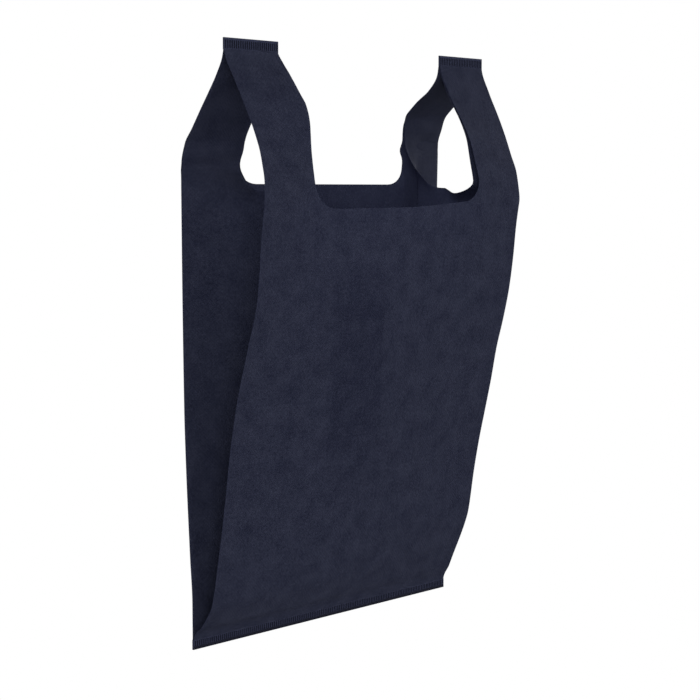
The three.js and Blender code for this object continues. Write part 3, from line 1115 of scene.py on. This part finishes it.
@dataclass(frozen=True)
class SpunbondFinish:
    """Spunbonded polypropylene, point-bonded: a matt web of fibres, pressed together in small points.

    The eye sees cloudy light and dark patches and small specks where the fibres lie thick or thin, and
    a fine diagonal grid of bond points over them. One upright band of the front panel is painted darker,
    as painted shade. A little light comes through the cloth, so that its shaded side is never quite black.
    """

    name: str = "spunbonded_polypropylene_point_bonded"
    thick_colour: str = "#333647"
    thin_colour: str = "#212435"
    bond_colour: str = "#1b1d2c"
    through_colour: str = "#7b7f98"
    light_through: float = 0.3
    ior: float = 1.49
    specular_level: float = 0.05
    roughness: float = 0.9
    bond_smoother_by: float = 0.2
    cloud_mm: float = 16.0
    speck_mm: float = 2.4
    speck_share: float = 0.5
    thinnest_web: float = 0.3
    thickest_web: float = 0.7
    bond_pitch_mm: float = 2.0
    bond_edge: float = 0.2
    bond_core: float = 1.6
    bond_share: float = 0.35
    fibre_mm: float = 0.6
    relief_mm: float = 0.08
    relief_strength: float = 0.6
    # Painted shade: how much darker the upright band of the front panel is painted, and where the band
    # lies.
    shade_band_share: float = 0.28
    band_lean: float = 0.19
    band_left_mm: tuple[float, float] = (126.0, 146.0)
    band_right_mm: tuple[float, float] = (190.0, 194.0)
    band_foot_mm: tuple[float, float] = (110.0, 190.0)
    band_top_mm: tuple[float, float] = (285.0, 335.0)

    def painted_shade_band(self, tree: bpy.types.NodeTree, flat: bpy.types.NodeSocket) -> bpy.types.NodeSocket:
        """Marks an upright band of the front panel that is painted darker, as painted shade.

        Args:
            tree: The material's node tree.
            flat: The place in the flat cloth, in metres.

        Returns:
            A socket that is one inside the band and zero outside.
        """
        place = add_node(tree, "ShaderNodeSeparateXYZ", {}, {0: flat})
        leaning = add_node(
            tree, "ShaderNodeMath", {"operation": "MULTIPLY_ADD"},
            {0: place.outputs[1], 1: self.band_lean, 2: place.outputs[0]},
        )
        edges = [
            (leaning.outputs[0], self.band_left_mm, 1.0),
            (leaning.outputs[0], self.band_right_mm, 0.0),
            (place.outputs[1], self.band_foot_mm, 1.0),
            (place.outputs[1], self.band_top_mm, 0.0),
        ]
        inside = None
        for value, (start, end), after in edges:
            edge = add_node(
                tree, "ShaderNodeMapRange", {"interpolation_type": "SMOOTHSTEP"},
                {"Value": value, "From Min": start * METRES_PER_MM, "From Max": end * METRES_PER_MM,
                 "To Min": 1.0 - after, "To Max": after},
            ).outputs[0]
            if inside is not None:
                both = add_node(tree, "ShaderNodeMath", {"operation": "MULTIPLY"}, {0: inside, 1: edge})
                edge = both.outputs[0]
            inside = edge
        return inside

    def make(self) -> bpy.types.Material:
        """Makes the material.

        Returns:
            The cloth's material.
        """
        material, tree = new_material(self.name)
        flat = add_node(tree, "ShaderNodeUVMap", {"uv_map": FLAT_MAP}).outputs["UV"]

        # Clouds: how thick the web lies, at the size of a thumb and of a grain
        cloud = add_node(
            tree, "ShaderNodeTexNoise", {"noise_dimensions": "2D"},
            {"Vector": flat, "Scale": per_metre(self.cloud_mm), "Detail": 3.0, "Roughness": 0.6},
        )
        speck = add_node(
            tree, "ShaderNodeTexNoise", {"noise_dimensions": "2D"},
            {"Vector": flat, "Scale": per_metre(self.speck_mm), "Detail": 2.0, "Roughness": 0.5},
        )
        web = add_node(
            tree, "ShaderNodeMix", {"data_type": "FLOAT"},
            {"Factor": self.speck_share, "A": cloud.outputs[0], "B": speck.outputs[0]},
        )
        spread = add_node(
            tree, "ShaderNodeMapRange", {},
            {"Value": web.outputs[0], "From Min": self.thinnest_web, "From Max": self.thickest_web,
             "To Min": 0.0, "To Max": 1.0},
        )
        # How thick the web lies, less the painted shade of the upright band on the front panel.
        thickness = add_node(
            tree, "ShaderNodeMath", {"operation": "MULTIPLY_ADD"},
            {0: self.painted_shade_band(tree, flat), 1: -self.shade_band_share, 2: spread.outputs[0]},
        )
        body = add_node(
            tree, "ShaderNodeMix", {"data_type": "RGBA"},
            {"Factor": thickness.outputs[0], 6: linear_colour(self.thin_colour),
             7: linear_colour(self.thick_colour)},
        )

        # Bond points: two diagonal waves whose crests meet in a grid of small pressed diamonds
        turn = 2 * math.pi * MM_PER_METRE / (self.bond_pitch_mm * math.sqrt(2))
        waves = []
        for lean in (1.0, -1.0):
            along = add_node(
                tree, "ShaderNodeVectorMath", {"operation": "DOT_PRODUCT"},
                {0: flat, 1: (turn, lean * turn, 0.0)},
            )
            wave = add_node(tree, "ShaderNodeMath", {"operation": "COSINE"}, {0: along.outputs["Value"]})
            waves.append(wave)
        crossing = add_node(
            tree, "ShaderNodeMath", {"operation": "ADD"}, {0: waves[0].outputs[0], 1: waves[1].outputs[0]},
        )
        bond = add_node(
            tree, "ShaderNodeMapRange", {"interpolation_type": "SMOOTHSTEP"},
            {"Value": crossing.outputs[0], "From Min": self.bond_edge, "From Max": self.bond_core,
             "To Min": 0.0, "To Max": 1.0},
        )
        bond_tint = add_node(
            tree, "ShaderNodeMath", {"operation": "MULTIPLY"}, {0: bond.outputs[0], 1: self.bond_share},
        )
        colour = add_node(
            tree, "ShaderNodeMix", {"data_type": "RGBA"},
            {"Factor": bond_tint.outputs[0], 6: body.outputs[2], 7: linear_colour(self.bond_colour)},
        )

        # Fibres: a grain too fine to show singly, drawn at about the size of a small bundle
        fibre = add_node(
            tree, "ShaderNodeTexNoise", {"noise_dimensions": "2D"},
            {"Vector": flat, "Scale": per_metre(self.fibre_mm), "Detail": 1.0},
        )
        relief = add_node(
            tree, "ShaderNodeMath", {"operation": "MULTIPLY_ADD"},
            {0: bond.outputs[0], 1: -1.0, 2: fibre.outputs[0]},
        )
        bump = add_node(
            tree, "ShaderNodeBump", {},
            {"Strength": self.relief_strength, "Distance": self.relief_mm * METRES_PER_MM,
             "Height": relief.outputs[0]},
        )
        gloss = add_node(
            tree, "ShaderNodeMapRange", {},
            {"Value": bond.outputs[0], "To Min": self.roughness,
             "To Max": self.roughness - self.bond_smoother_by},
        )
        shader = add_node(
            tree, "ShaderNodeBsdfPrincipled", {},
            {"Base Color": colour.outputs[2], "Roughness": gloss.outputs[0], "IOR": self.ior,
             "Specular IOR Level": self.specular_level, "Normal": bump.outputs[0]},
        )
        through = add_node(
            tree, "ShaderNodeBsdfTranslucent", {},
            {"Color": linear_colour(self.through_colour), "Normal": bump.outputs[0]},
        )
        cloth = add_node(
            tree, "ShaderNodeMixShader", {},
            {0: self.light_through, 1: shader.outputs[0], 2: through.outputs[0]},
        )
        add_node(tree, "ShaderNodeOutputMaterial", {}, {"Surface": cloth.outputs[0]})
        return material


@dataclass(frozen=True)
class FusedFilmFinish:
    """Polypropylene melted by a heat bar: the fibres run together into a darker, smoother film."""

    name: str = "heat_welded_polypropylene_film"
    colour: str = "#0e101a"
    streak_colour: str = "#141622"
    ior: float = 1.49
    specular_level: float = 0.04
    roughness: float = 0.6
    streak_mm: float = 3.0

    def make(self) -> bpy.types.Material:
        """Makes the material.

        Returns:
            The material of the welds' grooves.
        """
        material, tree = new_material(self.name)
        flat = add_node(tree, "ShaderNodeUVMap", {"uv_map": FLAT_MAP}).outputs["UV"]
        streak = add_node(
            tree, "ShaderNodeTexNoise", {"noise_dimensions": "2D"},
            {"Vector": flat, "Scale": per_metre(self.streak_mm), "Detail": 2.0},
        )
        colour = add_node(
            tree, "ShaderNodeMix", {"data_type": "RGBA"},
            {"Factor": streak.outputs[0], 6: linear_colour(self.colour),
             7: linear_colour(self.streak_colour)},
        )
        shader = add_node(
            tree, "ShaderNodeBsdfPrincipled", {},
            {"Base Color": colour.outputs[2], "Roughness": self.roughness, "IOR": self.ior,
             "Specular IOR Level": self.specular_level},
        )
        add_node(tree, "ShaderNodeOutputMaterial", {}, {"Surface": shader.outputs[0]})
        return material


@dataclass(frozen=True)
class PaleFloorFinish:
    """Matt white painted board: it keeps the bag's soft shadow and fades into the white room."""

    name: str = "painted_board_matt_white"
    colour: str = "#e6e6e6"
    roughness: float = 0.9
    specular_level: float = 0.1
    near: float = 0.55
    far: float = 1.1

    def make(self) -> bpy.types.Material:
        """Makes the material.

        Returns:
            The floor's material.
        """
        material, tree = new_material(self.name)
        place = add_node(tree, "ShaderNodeTexCoord").outputs["Object"]
        distance = add_node(tree, "ShaderNodeVectorMath", {"operation": "LENGTH"}, {0: place})
        fade = add_node(
            tree, "ShaderNodeMapRange", {"interpolation_type": "SMOOTHSTEP"},
            {"Value": distance.outputs["Value"], "From Min": self.near, "From Max": self.far},
        )
        rays = add_node(tree, "ShaderNodeLightPath")
        seen = add_node(
            tree, "ShaderNodeMath", {"operation": "ADD", "use_clamp": True},
            {0: rays.outputs["Is Camera Ray"], 1: rays.outputs["Is Glossy Ray"]},
        )
        seen = add_node(
            tree, "ShaderNodeMath", {"operation": "ADD", "use_clamp": True},
            {0: seen.outputs[0], 1: rays.outputs["Is Transmission Ray"]},
        )
        white = add_node(
            tree, "ShaderNodeMath", {"operation": "MULTIPLY"}, {0: fade.outputs[0], 1: seen.outputs[0]},
        )
        board = add_node(
            tree, "ShaderNodeBsdfPrincipled", {},
            {"Base Color": linear_colour(self.colour), "Roughness": self.roughness,
             "Specular IOR Level": self.specular_level},
        )
        room = add_node(tree, "ShaderNodeEmission", {}, {"Color": (1.0, 1.0, 1.0, 1.0), "Strength": 1.0})
        mixed = add_node(
            tree, "ShaderNodeMixShader", {},
            {0: white.outputs[0], 1: board.outputs[0], 2: room.outputs[0]},
        )
        add_node(tree, "ShaderNodeOutputMaterial", {}, {"Surface": mixed.outputs[0]})
        return material


@dataclass
class Lamp:
    """A square soft lamp that looks at the bag. Its place and size are in metres, its power in watts."""

    name: str
    place: tuple[float, float, float]
    power: float
    size: float = 1.4

    def build(self, target: tuple[float, float, float]) -> bpy.types.Object:
        """Hangs the lamp.

        Args:
            target: The place that it looks at.

        Returns:
            The lamp.
        """
        data = bpy.data.lights.new(self.name, "AREA")
        data.shape = "SQUARE"
        data.size = self.size
        data.energy = self.power
        lamp = bpy.data.objects.new(self.name, data)
        lamp.location = self.place
        aim = np.array(target) - np.array(self.place)
        flat = math.hypot(aim[0], aim[1])
        lamp.rotation_euler = (math.atan2(flat, -aim[2]), 0.0, math.atan2(-aim[0], aim[1]))
        bpy.context.scene.collection.objects.link(lamp)
        return lamp


@dataclass
class Studio:
    """A white room with a pale floor below the hanging bag, soft lamps and the camera, in metres."""

    floor_z: float = -0.80
    floor_radius: float = 6.0
    floor_sides: int = 96
    room_light: float = 0.285
    target: tuple[float, float, float] = (0.0, 0.0, 0.25)
    camera_place: tuple[float, float, float] = (-1.01078, -0.96922, 0.36118)
    camera_tilt: float = math.radians(84.666)
    camera_turn: float = math.radians(-45.9)
    lens_mm: float = 87.59
    sensor_mm: float = 36.0
    nearest_seen: float = 0.01
    lamps: tuple[Lamp, ...] = (
        Lamp("key_lamp", (1.8, -1.8, 0.5), 20.0),
        Lamp("front_lamp", (0.0, -2.6, 0.9), 9.2),
        Lamp("left_lamp", (-1.7, -1.7, 0.9), 39.6),
        Lamp("top_lamp", (0.0, 0.0, 2.8), 6.4),
        Lamp("right_lamp", (2.5, 0.0, 0.9), 38.6),
        Lamp("back_left_lamp", (-1.2, 1.8, 1.6), 6.4),
        Lamp("back_right_lamp", (1.5, 2.0, 1.6), 9.6),
    )

    def build_room(self) -> None:
        """Sets the world: plain white to the eye, and softer as the light that it gives."""
        world = bpy.data.worlds.new("white_room")
        world.use_nodes = True
        tree = world.node_tree
        tree.nodes.clear()
        rays = add_node(tree, "ShaderNodeLightPath")
        seen = add_node(
            tree, "ShaderNodeMath", {"operation": "ADD", "use_clamp": True},
            {0: rays.outputs["Is Camera Ray"], 1: rays.outputs["Is Transmission Ray"]},
        )
        strength = add_node(
            tree, "ShaderNodeMapRange", {},
            {"Value": seen.outputs[0], "To Min": self.room_light, "To Max": 1.0},
        )
        back = add_node(
            tree, "ShaderNodeBackground", {},
            {"Color": (1.0, 1.0, 1.0, 1.0), "Strength": strength.outputs[0]},
        )
        add_node(tree, "ShaderNodeOutputWorld", {}, {"Surface": back.outputs[0]})
        bpy.context.scene.world = world

    def build_floor(self) -> bpy.types.Object:
        """Lays the floor as a round board.

        Returns:
            The floor.
        """
        turns = [2 * math.pi * k / self.floor_sides for k in range(self.floor_sides)]
        rim = [(self.floor_radius * math.cos(t), self.floor_radius * math.sin(t), 0.0) for t in turns]
        mesh = bpy.data.meshes.new("floor")
        mesh.from_pydata(rim, [], [tuple(range(self.floor_sides))])
        floor = bpy.data.objects.new("floor", mesh)
        floor.location = (0.0, 0.0, self.floor_z)
        floor.data.materials.append(PaleFloorFinish().make())
        bpy.context.scene.collection.objects.link(floor)
        return floor

    def build_camera(self) -> None:
        """Sets the camera at the photograph's place."""
        data = bpy.data.cameras.new("photo_camera")
        data.sensor_width = self.sensor_mm
        data.lens = self.lens_mm
        data.clip_start = self.nearest_seen
        camera = bpy.data.objects.new("photo_camera", data)
        camera.location = self.camera_place
        camera.rotation_euler = (self.camera_tilt, 0.0, self.camera_turn)
        bpy.context.scene.collection.objects.link(camera)
        bpy.context.scene.camera = camera

    def build(self) -> None:
        """Builds the room, the floor, the lamps and the camera."""
        self.build_room()
        self.build_floor()
        for lamp in self.lamps:
            lamp.build(self.target)
        self.build_camera()
        bpy.context.scene.view_settings.view_transform = "Standard"


@dataclass
class TShirtBag:
    """The whole bag: its draped cloth and its three welds."""

    body: str = "root"
    node: str = "bag"
    slot: str = "spunbond_cloth"
    cloth: DrapedCloth = field(default_factory=DrapedCloth)
    handle_weld_height: float = 9.0
    weld_margin: float = 0.4
    sheet_area: float = 0.383

    def welds(self) -> list[PressedWeld]:
        """Lists the welds.

        Returns:
            The foot weld and the two handle welds.
        """
        cut, hang = self.cloth.cut, self.cloth.hang
        strap_middle = cut.half_width - cut.strap_width / 2
        weld_foot = hang.top_height - self.handle_weld_height
        foot = PressedWeld(
            name="foot_weld",
            width=cut.panel_width + 2 * self.weld_margin,
            height=hang.foot_weld,
            centre_x=0.0,
            centre_y=hang.seam_setback + hang.weld_plane_y,
            foot_z=0.0,
            groove_foot=2.6,
            groove_top=7.0,
            foot_is_fused=True,
        )
        handles = [
            PressedWeld(
                name=f"{side.name.lower()}_handle_weld",
                width=cut.strap_width + 2 * self.weld_margin,
                height=self.handle_weld_height,
                centre_x=side.value * strap_middle,
                centre_y=hang.weld_plane_y,
                foot_z=weld_foot,
                groove_foot=1.1,
                groove_top=7.3,
            )
            for side in Side
        ]
        return [foot, *handles]

    def build(self) -> None:
        """Builds every piece, dresses it, and sets it on the frame."""
        spunbond = SpunbondFinish().make()
        pressed = SpunbondFinish(
            name="spunbonded_polypropylene_pressed_in_weld",
            thick_colour="#2d3042",
            thin_colour="#252839",
            bond_share=0.0,
            specular_level=0.03,
            light_through=0.0,
        ).make()
        fused = FusedFilmFinish().make()
        cloth = self.cloth.build()
        cloth.data.materials.append(spunbond)
        pieces = [cloth]
        for weld in self.welds():
            piece = weld.build()
            piece.data.materials.append(pressed)
            piece.data.materials.append(fused)
            pieces.append(piece)
        for piece in pieces:
            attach(piece, self.body)
            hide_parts(self.node)
            LOG.info("%s: %d faces", piece.name, len(piece.data.polygons))


def main() -> None:
    """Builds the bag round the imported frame, then the studio."""
    logging.basicConfig(level=logging.INFO, format="%(name)s: %(message)s")
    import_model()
    Studio().build()
    TShirtBag().build()


if __name__ == "__main__":
    main()
